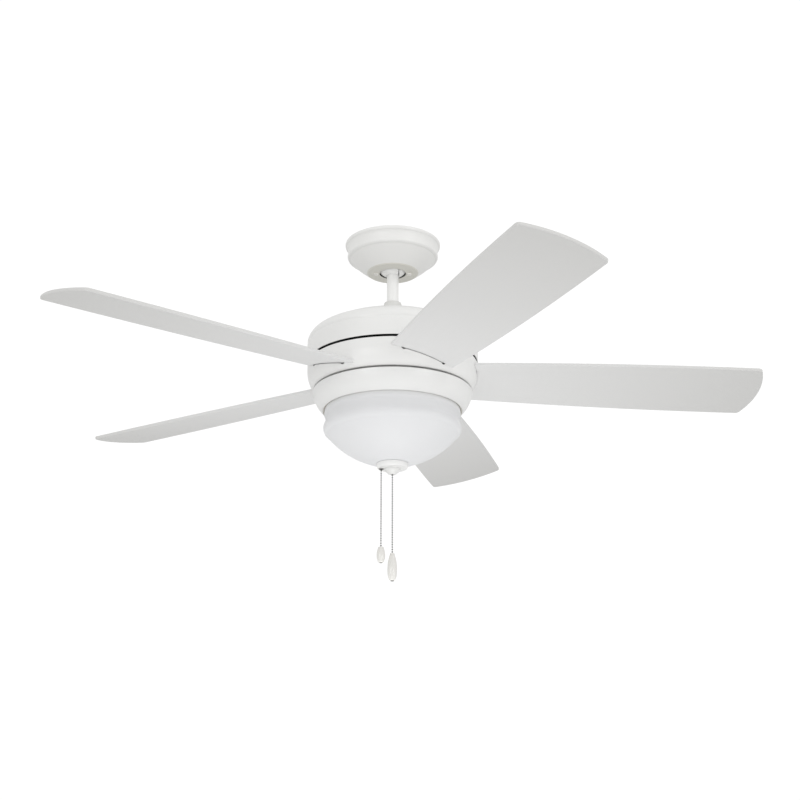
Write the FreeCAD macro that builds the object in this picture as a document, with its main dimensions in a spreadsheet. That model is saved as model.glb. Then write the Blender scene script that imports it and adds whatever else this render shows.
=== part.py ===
"""Ceiling fan with a bowl light, five blades, hung from a ball and downrod.

Millimetres, +Z up. The origin is on the fan's axis, on the face that meets the ceiling.
Heights of the canopy and bracket are measured from the ceiling. Heights of everything that
hangs from the downrod are measured from a level plane just under the blades, and each piece
is then lowered by the cell datum_level.
"""
import FreeCAD
import Part

import math
import os
import re

import Sketcher

SIZES = {
    "overall": {
        "datum_level": -266.0,
        "sheet_wall": 1.2,
        "thread_radius": 2.0,
        "hole_clearance": 0.2,
        "head_height": 2.2,
        "screw_head": 4.0,
        "overcut": 1.0,
    },
    "hanger bracket": {
        "strap_length": 118.0,
        "strap_width": 34.0,
        "strap_thickness": 2.5,
        "slot_spacing": 89.0,
        "slot_width": 5.6,
        "slot_length": 16.0,
        "leg_inside": 33.5,
        "ring_radius": 44.0,
        "ring_bottom": -56.9,
        "seat_radius": 31.3,
        "seat_top": -42.0,
        "seat_bottom": -50.0,
        "seat_wall": 3.2,
        "rod_opening": 24.0,
    },
    "canopy": {
        "rim_radius": 86.7,
        "rim_top": -0.4,
        "rim_roll": 2.0,
        "rim_roll_curve": 2.2,
        "rim_bead_bottom": -4.4,
        "rim_bead_curve": 4.4,
        "bead_foot_radius": 84.2,
        "bead_foot_level": -7.8,
        "cove_curve": 20.0,
        "lip_radius": 82.5,
        "lip_top": -23.0,
        "lip_roll": 0.8,
        "lip_roll_curve": 1.2,
        "lip_bottom": -27.0,
        "shoulder_curve": 6.0,
        "cone_radius": 77.6,
        "cone_top": -30.9,
        "cone_curve": 220.0,
        "ring_outer": 46.0,
        "ring_step": 1.2,
        "cone_bottom": -57.3,
        "canopy_bottom": -58.1,
        "canopy_hole": 24.0,
        "canopy_screw_offset": 30.5,
        "canopy_screw_head": 3.8,
    },
    "hanger ball and downrod": {
        "ball_radius": 31.0,
        "ball_level": -34.0,
        "ball_top_flat": 21.0,
        "ball_bore": 11.3,
        "key_slot_offset": 11.0,
        "key_slot_width": 1.8,
        "key_slot_depth": 5.0,
        "downrod_radius": 10.65,
        "downrod_bore": 8.2,
        "downrod_top": -16.0,
        "downrod_bottom": 112.0,
        "pin_radius": 3.0,
        "ball_pin_length": 46.0,
        "ball_pin_rise": 8.0,
        "coupling_pin_length": 27.0,
        "coupling_pin_level": 127.0,
        "cable_radius": 2.2,
        "cable_top": -12.0,
        "cable_bottom": -34.0,
        "cable_beside_pins": 5.5,
        "cable_in_shaft": 2.6,
        "cable_jog_top": 121.0,
        "cable_jog_bottom": 112.0,
    },
    "coupling and its cover": {
        "coupling_radius": 14.0,
        "coupling_top": 143.0,
        "coupling_bore": 10.7,
        "coupling_passage": 5.5,
        "coupling_boss": 13.0,
        "coupling_boss_bottom": 92.0,
        "shaft_socket_top": 108.0,
        "flange_radius": 27.0,
        "flange_bottom": 100.4,
        "cover_top": 149.6,
        "cover_top_radius": 15.8,
        "cover_hole": 11.2,
        "cover_base": 107.2,
        "cover_base_radius": 31.0,
        "cover_flare": 130.0,
        "cover_roll": 1.4,
        "cover_roll_curve": 1.6,
        "dome_screw_circle": 21.0,
    },
    "dome": {
        "dome_top": 105.8,
        "dome_hole": 14.6,
        "dome_cap_radius": 94.4,
        "dome_shoulder_radius": 134.6,
        "dome_shoulder_level": 89.6,
        "dome_radius": 152.6,
        "dome_wall_top": 70.6,
        "dome_crease_level": 67.0,
        "dome_crease_radius": 151.4,
        "dome_bead_level": 62.4,
        "dome_bottom": 32.7,
        "dome_skirt_radius": 151.9,
        "dome_cap_curve": 140.0,
        "dome_corner": 24.0,
        "dome_wall_step": 0.4,
        "dome_crease_curve": 9.0,
        "dome_screw_head": 3.2,
    },
    "reverse switch": {
        "reverse_level": 46.0,
        "reverse_window": 12.8,
        "reverse_window_height": 5.6,
        "reverse_body_width": 26.0,
        "reverse_body_height": 13.0,
        "reverse_body_depth": 11.0,
        "reverse_body_face": 150.0,
        "reverse_knob_width": 5.0,
        "reverse_knob_height": 5.0,
        "reverse_knob_inside": 144.4,
        "reverse_knob_outside": 154.8,
        "reverse_knob_rest": -3.0,
        "knob_clearance": 0.4,
    },
    "motor": {
        "shaft_radius": 8.0,
        "shaft_bore": 5.0,
        "shaft_bottom": -34.0,
        "case_radius": 94.0,
        "case_inside": 85.0,
        "case_top": 80.0,
        "case_bottom": 21.0,
        "case_split": 50.0,
        "case_cover": 3.5,
        "case_chamfer": 3.0,
        "case_hub": 26.0,
        "case_hub_rise": 3.0,
        "case_hub_slope": 2.0,
        "case_hub_depth": 9.5,
        "case_corner": 4.0,
        "seat_foot": 5.0,
        "seat_lip": 4.0,
        "case_hole": 10.5,
        "case_screw_circle": 88.0,
        "case_screw_count": 6,
        "case_screw_radius": 1.6,
        "case_screw_head": 2.7,
        "stator_radius": 66.0,
        "stator_bottom": 40.0,
        "stator_height": 20.0,
        "stator_slot_width": 5.0,
        "stator_slot_length": 18.0,
        "stator_slots": 16,
        "winding_circle": 52.0,
        "winding_radius": 5.4,
        "rotor_gap": 0.8,
        "race_wall": 3.0,
        "bearing_radius": 18.0,
        "bearing_height": 9.0,
        "bearing_ball": 1.95,
        "bearing_balls": 8,
    },
    "rotor band": {
        "band_radius": 151.6,
        "band_top": 28.9,
        "band_lip": 147.8,
        "band_straight_bottom": 14.0,
        "band_foot_radius": 141.0,
        "band_foot_level": -17.2,
        "band_bottom": -18.5,
        "band_floor_radius": 139.2,
        "band_floor_hole": 76.0,
        "band_curve": 57.0,
        "band_wall": 1.5,
        "band_corner": 1.5,
        "band_corner_curve": 1.6,
        "band_foot_curve": 2.0,
        "post_circle": 84.0,
        "post_radius": 4.0,
        "band_screw_length": 10.0,
        "band_screw_head": 3.4,
    },
    "blades and irons": {
        "blade_count": 5,
        "first_blade_angle": 3.69,
        "blade_pitch": 12.1,
        "blade_rise": 3.2,
        "blade_droop": 0.8,
        "blade_thickness": 5.5,
        "blade_root": 114.0,
        "blade_root_half": 57.7,
        "blade_tip_half": 74.8,
        "blade_tip_raised": 648.2,
        "blade_tip_lowered": 643.6,
        "blade_side_curve": 6400.0,
        "blade_tip_curve": 190.0,
        "blade_corner_radius": 9.0,
        "blade_edge_bevel": 0.9,
        "droop_start": 150.0,
        "tongue_half": 36.6,
        "shoulder_gap": 0.25,
        "slot_clearance": 1.2,
        "slot_end_radius": 5.2,
        "slot_depth": 10.0,
        "slot_reach": 8.0,
        "iron_inner": 56.0,
        "iron_riser": 100.0,
        "iron_riser_bottom": 1.0,
        "iron_half": 18.0,
        "iron_thickness": 4.0,
        "iron_pad_end": 140.0,
        "iron_pad_half": 31.0,
        "iron_pad_thickness": 3.0,
        "iron_screw_inner": 66.0,
        "iron_screw_outer": 82.0,
        "blade_screw_near": 122.0,
        "blade_screw_far": 134.0,
        "blade_screw_side": 24.0,
    },
    "light housing": {
        "pan_plate": -27.0,
        "pan_plate_radius": 133.2,
        "pan_rim_inner": 136.7,
        "pan_rim_level": -22.0,
        "pan_rim_outer": 140.2,
        "pan_radius": 141.6,
        "pan_shoulder": -23.4,
        "pan_rim_curve": 1.6,
        "pan_curve": 56.0,
        "pan_lip_curve": 1.8,
        "pan_lip_radius": 124.4,
        "pan_lip_level": -56.0,
        "pan_edge_radius": 122.9,
        "pan_edge_level": -57.2,
        "nut_across": 13.0,
        "nut_height": 4.5,
        "cup_radius": 34.0,
        "cup_bottom": -62.0,
        "cup_corner": 3.0,
        "plate_level": -47.0,
        "plate_radius": 129.0,
        "plate_hole": 34.5,
        "standoff_circle": 100.0,
        "standoff_radius": 4.0,
        "capacitor_length": 46.0,
        "capacitor_width": 18.0,
        "capacitor_height": 16.0,
        "capacitor_circle": 70.0,
        "capacitor_angle": 30.0,
        "gasket_inner": 115.4,
        "gasket_thickness": 2.0,
    },
    "pull switches": {
        "fan_chain_offset": -19.5,
        "switch_width": 16.0,
        "switch_depth": 20.0,
        "switch_top": -37.0,
        "switch_bottom": -54.0,
        "switch_wall": 2.0,
        "spout_radius": 3.4,
        "spout_bore": 2.3,
        "fan_spout_bottom": -64.0,
        "light_spout_bottom": -56.0,
        "arm_radius": 1.9,
        "arm_head": 3.4,
        "arm_head_height": 2.0,
        "arm_top": -39.6,
        "arm_bottom": -60.0,
    },
    "lamps": {
        "lamp_count": 3,
        "lamp_circle": 68.0,
        "first_lamp_angle": 90.0,
        "socket_radius": 15.0,
        "socket_bottom": -70.0,
        "cap_radius": 12.6,
        "cap_top": -52.0,
        "cap_bottom": -72.0,
        "bulb_neck": 12.0,
        "bulb_radius": 22.0,
        "bulb_waist": -96.0,
        "bulb_bottom": -118.0,
    },
    "glass bowl": {
        "glass_wall": 3.2,
        "glass_rim_radius": 119.4,
        "glass_neck_top_radius": 120.2,
        "glass_neck_top": -65.0,
        "glass_neck_bottom_radius": 119.9,
        "glass_neck_bottom": -82.0,
        "glass_neck_curve": 17.5,
        "glass_bulge_radius": 115.2,
        "glass_bulge_level": -100.0,
        "glass_bulge_curve": 13.0,
        "glass_bowl_curve": 155.0,
        "glass_hole": 26.2,
        "glass_bottom": -152.3,
    },
    "finial and centre rod": {
        "rod_radius": 5.0,
        "rod_bore": 2.6,
        "rod_top": -56.5,
        "rod_bottom": -167.0,
        "rod_nut_across": 9.0,
        "rod_nut_top": -57.0,
        "finial_radius": 27.6,
        "finial_top": -152.6,
        "finial_side": -156.0,
        "finial_floor": -161.0,
        "finial_floor_radius": 25.0,
        "finial_curve": 6.0,
        "finial_wall": 1.4,
        "knob_radius": 13.5,
        "knob_rim": -163.4,
        "knob_rim_curve": 9.0,
        "knob_waist_radius": 9.4,
        "knob_waist": -168.6,
        "knob_waist_curve": 8.0,
        "knob_bottom": -172.0,
        "knob_tip_radius": 4.4,
        "knob_hole": 2.5,
        "eyelet_radius": 4.2,
        "eyelet_barrel": 2.9,
        "eyelet_bore": 2.3,
        "eyelet_flange": 1.6,
    },
    "chains and fobs": {
        "chain_radius": 1.6,
        "fan_fob_top": -300.0,
        "fan_fob_cap": 5.3,
        "fan_fob_cap_height": 2.4,
        "fan_fob_radius": 7.3,
        "fan_fob_widest": -315.5,
        "fan_fob_curve": 50.0,
        "fan_fob_foot": 4.0,
        "fan_fob_foot_curve": 25.0,
        "fan_fob_bottom": -328.0,
        "light_fob_top": -311.0,
        "light_fob_neck": 3.9,
        "light_fob_cap_height": 3.0,
        "light_fob_radius": 8.3,
        "light_fob_widest": -341.0,
        "light_fob_neck_curve": 90.0,
        "light_fob_foot": 4.2,
        "light_fob_foot_curve": 43.0,
        "light_fob_bottom": -359.5,
    },
}

UP = FreeCAD.Vector(0, 0, 1)
ALONG_X = FreeCAD.Vector(1, 0, 0)
OUTWARD = 1
INWARD = -1

document = FreeCAD.newDocument("ceiling_fan")
nodes = []


# ---------------------------------------------------------------- spreadsheet

def fill_sheet():
    """Write the driving dimensions into a spreadsheet, one aliased cell each."""
    sheet = document.addObject("Spreadsheet::Sheet", "Dimensions")
    row = 1
    for group, sizes in SIZES.items():
        sheet.set(f"A{row}", group)
        row += 1
        for alias, size in sizes.items():
            sheet.set(f"A{row}", alias)
            sheet.set(f"B{row}", str(size))
            sheet.setAlias(f"B{row}", alias)
            row += 1
    document.recompute()
    return sheet


dimensions = fill_sheet()
ALIASES = {alias for sizes in SIZES.values() for alias in sizes}


def bound(expression):
    """Return an expression with each alias written as a reference to its cell."""
    def refer(match):
        word = match.group()
        return f"Dimensions.{word}" if word in ALIASES else word
    return re.sub(r"[a-z_]+", refer, expression)


def value(expression):
    """Return the number that an expression over the cells gives now."""
    return float(dimensions.evalExpression(bound(expression)))


def bind(item, **sizes):
    """Bind properties of a document object to expressions over the cells."""
    for name, expression in sizes.items():
        item.setExpression(name, bound(expression))


def place(item, x="0", y="0", z="0"):
    """Bind where an object stands to expressions over the cells."""
    for axis, expression in zip("xyz", (x, y, z)):
        if expression != "0":
            item.setExpression(f"Placement.Base.{axis}", bound(expression))


def keep(item, label, level="0"):
    """Make an object a sub-part: give it its label and its height, and list it."""
    item.Label = label
    place(item, z=level)
    nodes.append(item)
    return item


# ---------------------------------------------------------------- outlines

def arc_middle(start, end, radius, side):
    """Return the middle point of the arc from start to end that bulges to one side."""
    chord = end.sub(start)
    normal = FreeCAD.Vector(-chord.y, chord.x, 0).normalize()
    rise = radius - math.sqrt(radius ** 2 - chord.Length ** 2 / 4)
    return (start + end) * 0.5 + normal * (rise * side)


def pin_corner(sketch, edge, end, corner):
    """Hold one end of an edge at a corner, given as two expressions."""
    for kind, expression in zip(("DistanceX", "DistanceY"), corner):
        fixed = Sketcher.Constraint(kind, -1, 1, edge, end, value(expression))
        index = sketch.addConstraint(fixed)
        sketch.setExpression(f"Constraints[{index}]", bound(expression))


def draw_edge(sketch, start, end, curve):
    """Add a line or an arc and return it with the numbers of its two ends."""
    if curve:
        middle = arc_middle(start, end, value(curve[0]), curve[1])
        edge = sketch.addGeometry(Part.Arc(start, middle, end))
        index = sketch.addConstraint(Sketcher.Constraint("Radius", edge, value(curve[0])))
        sketch.setExpression(f"Constraints[{index}]", bound(curve[0]))
    else:
        edge = sketch.addGeometry(Part.LineSegment(start, end))
    forward = sketch.getPoint(edge, 1).sub(start).Length < sketch.getPoint(edge, 2).sub(start).Length
    return (edge, 1, 2) if forward else (edge, 2, 1)


def draw(sketch, corners, closed=True):
    """Draw an outline in a sketch.

    Each corner is (x, y) or (x, y, radius, side), as expressions: with a radius, the edge
    that leaves the corner is an arc of that radius, which bulges to the left for OUTWARD.
    """
    points = [FreeCAD.Vector(value(corner[0]), value(corner[1]), 0) for corner in corners]
    count = len(corners) if closed else len(corners) - 1
    edges = []
    for index in range(count):
        following = points[(index + 1) % len(points)]
        edges.append(draw_edge(sketch, points[index], following, corners[index][2:]))
    for index, (edge, first, last) in enumerate(edges):
        pin_corner(sketch, edge, first, corners[index][:2])
        if index or closed:
            before = edges[index - 1]
            joint = Sketcher.Constraint("Coincident", before[0], before[2], edge, first)
            sketch.addConstraint(joint)
    if not closed:
        pin_corner(sketch, edges[-1][0], edges[-1][2], corners[-1][:2])


def origin_plane(body, role):
    """Return one of a body's own origin planes."""
    return next(feature for feature in body.Origin.OriginFeatures if feature.Role == role)


def body_sketch(body, role, corners):
    """Draw a closed outline in a sketch on one of the body's origin planes."""
    sketch = body.newObject("Sketcher::SketchObject", f"{body.Name}_outline")
    sketch.AttachmentSupport = (origin_plane(body, role), "")
    sketch.MapMode = "FlatFace"
    draw(sketch, corners)
    return sketch


def turned(name, corners):
    """Return a body turned about Z from a closed outline of (radius, height) corners."""
    body = document.addObject("PartDesign::Body", name)
    sketch = body_sketch(body, "XZ_Plane", corners)
    turn = body.newObject("PartDesign::Revolution", f"{name}_turn")
    turn.Profile = sketch
    turn.ReferenceAxis = (sketch, ["V_Axis"])
    turn.Angle = 360
    body.Tip = turn
    return body


def spun_sheet(name, corners, wall):
    """Return a sheet spun about Z: an open outline, thickened to the right of its path."""
    sketch = document.addObject("Sketcher::SketchObject", f"{name}_outline")
    sketch.Placement = FreeCAD.Placement(FreeCAD.Vector(), FreeCAD.Rotation(ALONG_X, 90))
    draw(sketch, corners, closed=False)
    section = document.addObject("Part::Offset2D", f"{name}_section")
    section.Source = sketch
    section.Mode = "Skin"
    section.Fill = True
    bind(section, Value=f"-{wall}")
    spun = document.addObject("Part::Revolution", f"{name}_spun")
    spun.Source = section
    spun.Axis = UP
    spun.Angle = 360
    spun.Solid = True
    return spun


# ---------------------------------------------------------------- primitives

def cylinder(name, radius, bottom, top, x="0", y="0"):
    """Return an upright cylinder between two heights."""
    item = document.addObject("Part::Cylinder", name)
    bind(item, Radius=radius, Height=f"({top}) - ({bottom})")
    place(item, x, y, bottom)
    return item


def cross_pin(name, radius, length, z):
    """Return a level cylinder along X, centred on the axis."""
    item = document.addObject("Part::Cylinder", name)
    item.Placement.Rotation = FreeCAD.Rotation(UP, ALONG_X)
    bind(item, Radius=radius, Height=length)
    place(item, x=f"-({length}) / 2", z=z)
    return item


def block(name, x_range, y_range, z_range):
    """Return a box between pairs of limits."""
    item = document.addObject("Part::Box", name)
    ranges = (x_range, y_range, z_range)
    for size, (low, high) in zip(("Length", "Width", "Height"), ranges):
        bind(item, **{size: f"({high}) - ({low})"})
    place(item, *(low for low, high in ranges))
    return item


def centred(half):
    """Return the limits of a size centred on zero."""
    return f"-({half})", half


def hexagon(name, across, bottom, top):
    """Return an upright hexagonal prism."""
    item = document.addObject("Part::Prism", name)
    item.Polygon = 6
    bind(item, Circumradius=across, Height=f"({top}) - ({bottom})")
    place(item, z=bottom)
    return item


def together(name, items):
    """Return separate solids as one group."""
    group = document.addObject("Part::Compound", name)
    group.Links = items
    return group


def fused(name, items):
    """Return overlapping shapes joined into one solid."""
    joined = document.addObject("Part::MultiFuse", name)
    joined.Shapes = items
    joined.Refine = True
    return joined


def cut(name, base, tools):
    """Return a shape with others cut away from it."""
    result = document.addObject("Part::Cut", name)
    result.Base = base
    result.Tool = tools[0] if len(tools) == 1 else together(f"{name}_tools", tools)
    return result


def around(count, radius, first="0"):
    """Return x and y expressions of points evenly spaced round a circle."""
    angles = [f"({first} + {360 / count * step})" for step in range(count)]
    return [(f"{radius} * cos({angle})", f"{radius} * sin({angle})") for angle in angles]


def screw(name, head, shank, seat, tip, x="0", y="0"):
    """Return a pan-head screw whose head lies on seat, on the side away from tip."""
    above = value(seat) > value(tip)
    head_end = f"{seat} + head_height" if above else f"{seat} - head_height"
    head_limits = (seat, head_end) if above else (head_end, seat)
    shank_limits = (tip, seat) if above else (seat, tip)
    parts = [
        cylinder(f"{name}_head", head, *head_limits, x, y),
        cylinder(f"{name}_shank", shank, *shank_limits, x, y),
    ]
    return fused(name, parts)


# ---------------------------------------------------------------- ceiling bracket and canopy

def make_hanger_bracket():
    """Steel strap with two slots, two legs and the dished ring that the ball sits in."""
    def ball_section(level):
        return f"sqrt(seat_radius ^ 2 - (ball_level - {level}) ^ 2)"

    ring_top = "ring_bottom + strap_thickness"
    seat = turned("seat_ring", [
        (ball_section("seat_bottom"), "ring_bottom"),
        ("ring_radius", "ring_bottom"),
        ("ring_radius", ring_top),
        (f"{ball_section('seat_bottom')} + seat_wall", ring_top),
        (f"{ball_section('seat_top')} + seat_wall", "seat_top"),
        (ball_section("seat_top"), "seat_top", "seat_radius", OUTWARD),
        (ball_section("seat_bottom"), "seat_bottom"),
    ])
    strap = block("strap", centred("strap_length / 2"), centred("strap_width / 2"),
                  ("-strap_thickness", "0"))
    legs = []
    for side in ("left", "right"):
        near, far = "leg_inside", "leg_inside + strap_thickness"
        x_range = (near, far) if side == "right" else (f"-({far})", f"-{near}")
        legs.append(block(f"{side}_leg", x_range, centred("strap_width / 2"),
                          (ring_top, "-strap_thickness")))
    slots = []
    for sign in ("-", ""):
        centre = f"{sign}slot_spacing / 2"
        straight = "(slot_length - slot_width) / 2"
        slots.append(block("slot", (f"{centre} - {straight}", f"{centre} + {straight}"),
                           centred("slot_width / 2"), ("-2 * strap_thickness", "strap_thickness")))
        for end in ("-", "+"):
            slots.append(cylinder("slot_end", "slot_width / 2", "-2 * strap_thickness",
                                  "strap_thickness", f"{centre} {end} {straight}"))
    opening = block("rod_gate", centred("rod_opening / 2"), ("0", "2 * ring_radius"),
                    ("ring_bottom - strap_thickness", "seat_top + strap_thickness"))
    threads = [cylinder("thread", "thread_radius", "ring_bottom - overcut", f"{ring_top} + overcut",
                        f"{sign}canopy_screw_offset") for sign in ("-", "")]
    frame = fused("bracket_frame", [seat, strap, *legs])
    keep(cut("bracket", frame, [*slots, opening, *threads]), "hanger_bracket")


def make_canopy():
    """Spun canopy: beaded rim, cove, lip and a cone down to a flat ring round the ball."""
    shell = spun_sheet("canopy", [
        ("rim_radius - rim_roll", "rim_top", "rim_roll_curve", OUTWARD),
        ("rim_radius", "rim_top - rim_roll"),
        ("rim_radius", "rim_bead_bottom", "rim_bead_curve", OUTWARD),
        ("bead_foot_radius", "bead_foot_level", "cove_curve", INWARD),
        ("lip_radius - lip_roll", "lip_top", "lip_roll_curve", OUTWARD),
        ("lip_radius", "lip_top - lip_roll"),
        ("lip_radius", "lip_bottom", "shoulder_curve", OUTWARD),
        ("cone_radius", "cone_top", "cone_curve", OUTWARD),
        ("ring_outer", "cone_bottom"),
        ("ring_outer - ring_step", "canopy_bottom"),
        ("canopy_hole", "canopy_bottom"),
    ], "sheet_wall")
    holes = [cylinder("canopy_screw_hole", "thread_radius + hole_clearance", "canopy_bottom - overcut",
                      "canopy_bottom + 2 * sheet_wall", f"{sign}canopy_screw_offset")
             for sign in ("-", "")]
    keep(cut("canopy_drilled", shell, holes), "canopy")


def make_canopy_screws():
    """Two pan-head screws up through the canopy's flat ring."""
    screws = [screw("canopy_screw", "canopy_screw_head", "thread_radius", "canopy_bottom",
                    "ring_bottom + strap_thickness", f"{sign}canopy_screw_offset")
              for sign in ("-", "")]
    keep(together("canopy_screw_pair", screws), "canopy_screws")


# ---------------------------------------------------------------- ball, downrod and coupling

def make_hanger_ball():
    """Moulded ball with a flat top, a bore for the downrod, a pin hole and a key slot."""
    ball = document.addObject("Part::Sphere", "ball_blank")
    bind(ball, Radius="ball_radius")
    bore = cylinder("ball_bore_tool", "ball_bore", "-2 * ball_radius", "2 * ball_radius")
    top = block("ball_top_tool", centred("ball_radius"), centred("ball_radius"),
                ("ball_top_flat", "2 * ball_radius"))
    pin_hole = cross_pin("ball_pin_hole", "pin_radius", "ball_pin_length", "ball_pin_rise")
    half_width = "key_slot_width / 2"
    reach = "ball_radius - key_slot_depth"
    slot = block("key_slot", (f"key_slot_offset - {half_width}", f"key_slot_offset + {half_width}"),
                 ("-2 * ball_radius", "0"), ("-2 * ball_radius", "0"))
    core = document.addObject("Part::Sphere", "key_slot_floor")
    bind(core, Radius=reach)
    groove = cut("key_groove", slot, [core])
    keep(cut("ball", ball, [bore, top, pin_hole, groove]), "hanger_ball", "ball_level")


def make_ball_pin():
    """Steel pin that locks the ball to the downrod."""
    pin = cross_pin("ball_lock", "pin_radius", "ball_pin_length", "ball_level + ball_pin_rise")
    keep(pin, "ball_pin")


def make_downrod():
    """Steel tube, cross-drilled for the ball pin at the top and the coupling pin below."""
    tube = turned("downrod_tube", [
        ("downrod_bore", "datum_level + downrod_bottom"),
        ("downrod_radius", "datum_level + downrod_bottom"),
        ("downrod_radius", "downrod_top"),
        ("downrod_bore", "downrod_top"),
    ])
    holes = [cross_pin("rod_hole", "pin_radius", "3 * downrod_radius", level)
             for level in ("ball_level + ball_pin_rise", "datum_level + coupling_pin_level")]
    keep(cut("downrod_drilled", tube, holes), "downrod")


def make_supply_cable():
    """Supply leads in their sleeve: past the two pins on one side, then down the shaft."""
    top = "cable_top - datum_level"
    upper = cylinder("cable_upper", "cable_radius", "cable_jog_top", top, y="cable_beside_pins")
    lower = cylinder("cable_lower", "cable_radius", "cable_bottom", "cable_jog_bottom",
                     y="cable_in_shaft")
    bends = []
    for y, level in (("cable_beside_pins", "cable_jog_top"),
                     ("cable_in_shaft", "cable_jog_bottom")):
        bend = document.addObject("Part::Sphere", "cable_bend")
        bind(bend, Radius="cable_radius")
        place(bend, y=y, z=level)
        bends.append(bend)
    jog = document.addObject("Part::Cylinder", "cable_jog")
    across = "(cable_beside_pins - cable_in_shaft)"
    drop = "(cable_jog_top - cable_jog_bottom)"
    bind(jog, Radius="cable_radius", Height=f"sqrt({across} ^ 2 + {drop} ^ 2)")
    run = FreeCAD.Vector(0, value(across), value(drop))
    jog.Placement.Rotation = FreeCAD.Rotation(UP, run)
    place(jog, y="cable_in_shaft", z="cable_jog_bottom")
    keep(fused("cable", [upper, lower, jog, *bends]), "supply_cable", "datum_level")


def make_coupling_pin():
    """Steel pin that hangs the motor coupling from the downrod."""
    keep(cross_pin("coupling_lock", "pin_radius", "coupling_pin_length",
                   "datum_level + coupling_pin_level"), "coupling_pin")


def make_motor_coupling():
    """Cast coupling: downrod socket above, shaft socket below, flange under the dome."""
    flange_top = "dome_top - sheet_wall"
    casting = turned("coupling_casting", [
        ("shaft_radius", "coupling_boss_bottom"),
        ("coupling_boss", "coupling_boss_bottom"),
        ("coupling_boss", "flange_bottom"),
        ("flange_radius", "flange_bottom"),
        ("flange_radius", flange_top),
        ("coupling_radius", flange_top),
        ("coupling_radius", "coupling_top"),
        ("coupling_bore", "coupling_top"),
        ("coupling_bore", "downrod_bottom"),
        ("coupling_passage", "downrod_bottom"),
        ("coupling_passage", "shaft_socket_top"),
        ("shaft_radius", "shaft_socket_top"),
    ])
    pin_hole = cross_pin("coupling_pin_hole", "pin_radius", "3 * coupling_radius",
                         "coupling_pin_level")
    threads = [cylinder("flange_thread", "thread_radius", "flange_bottom - overcut", "dome_top", x, y)
               for x, y in around(3, "dome_screw_circle")]
    keep(cut("coupling", casting, [pin_hole, *threads]), "motor_coupling", "datum_level")


def make_coupling_cover():
    """Spun bell that slides down the rod and hides the coupling."""
    bell = spun_sheet("bell", [
        ("cover_hole", "cover_top"),
        ("cover_top_radius - cover_roll", "cover_top", "cover_roll_curve", OUTWARD),
        ("cover_top_radius", "cover_top - cover_roll", "cover_flare", INWARD),
        ("cover_base_radius", "cover_base"),
    ], "sheet_wall")
    keep(bell, "coupling_cover", "datum_level")


# ---------------------------------------------------------------- dome and reverse switch

def make_housing_dome():
    """Spun upper housing: flat cap, sloping shoulder, creased side and plain skirt."""
    shell = spun_sheet("dome", [
        ("dome_hole", "dome_top"),
        ("dome_cap_radius", "dome_top", "dome_cap_curve", OUTWARD),
        ("dome_shoulder_radius", "dome_shoulder_level", "dome_corner", OUTWARD),
        ("dome_radius - dome_wall_step", "dome_wall_top", "dome_crease_curve", OUTWARD),
        ("dome_crease_radius", "dome_crease_level", "dome_crease_curve", INWARD),
        ("dome_radius", "dome_bead_level"),
        ("dome_skirt_radius", "dome_bottom"),
    ], "sheet_wall")
    window = block("reverse_window_tool", centred("reverse_window / 2"),
                   ("reverse_body_face - overcut", "dome_radius + overcut"),
                   ("reverse_level - reverse_window_height / 2",
                    "reverse_level + reverse_window_height / 2"))
    holes = [cylinder("dome_screw_hole", "thread_radius", "dome_top - 2 * sheet_wall",
                      "dome_top + overcut", x, y)
             for x, y in around(3, "dome_screw_circle")]
    keep(cut("dome_pierced", shell, [window, *holes]), "housing_dome", "datum_level")


def make_dome_screws():
    """Three screws that fasten the dome to the coupling's flange, under the bell."""
    screws = [screw("dome_screw", "dome_screw_head", "thread_radius", "dome_top",
                    "flange_bottom", x, y) for x, y in around(3, "dome_screw_circle")]
    keep(together("dome_screw_set", screws), "dome_screws", "datum_level")


def make_reverse_switch():
    """Slide switch for winter or summer running, with its knob through the dome's wall."""
    half_height = "reverse_window_height / 2"
    body = block("reverse_body", centred("reverse_body_width / 2"),
                 ("reverse_body_face - reverse_body_depth", "reverse_body_face"),
                 ("reverse_level - reverse_body_height / 2",
                  "reverse_level + reverse_body_height / 2"))
    track = block("reverse_track", centred("reverse_window / 2"),
                  ("reverse_knob_inside - knob_clearance", "reverse_body_face + overcut"),
                  (f"reverse_level - {half_height}", f"reverse_level + {half_height}"))
    keep(cut("reverse_case", body, [track]), "reverse_switch_body", "datum_level")
    knob = block("reverse_slider",
                 ("reverse_knob_rest - reverse_knob_width / 2",
                  "reverse_knob_rest + reverse_knob_width / 2"),
                 ("reverse_knob_inside", "reverse_knob_outside"),
                 ("reverse_level - reverse_knob_height / 2",
                  "reverse_level + reverse_knob_height / 2"))
    keep(knob, "reverse_switch_knob", "datum_level + reverse_level - reverse_knob_height / 2")


# ---------------------------------------------------------------- motor

def make_motor_shaft():
    """Hollow steel shaft, fixed, with the wires inside it."""
    shaft = turned("shaft_tube", [
        ("shaft_bore", "shaft_bottom"),
        ("shaft_radius", "shaft_bottom"),
        ("shaft_radius", "shaft_socket_top"),
        ("shaft_bore", "shaft_socket_top"),
    ])
    keep(shaft, "motor_shaft", "datum_level")


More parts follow.
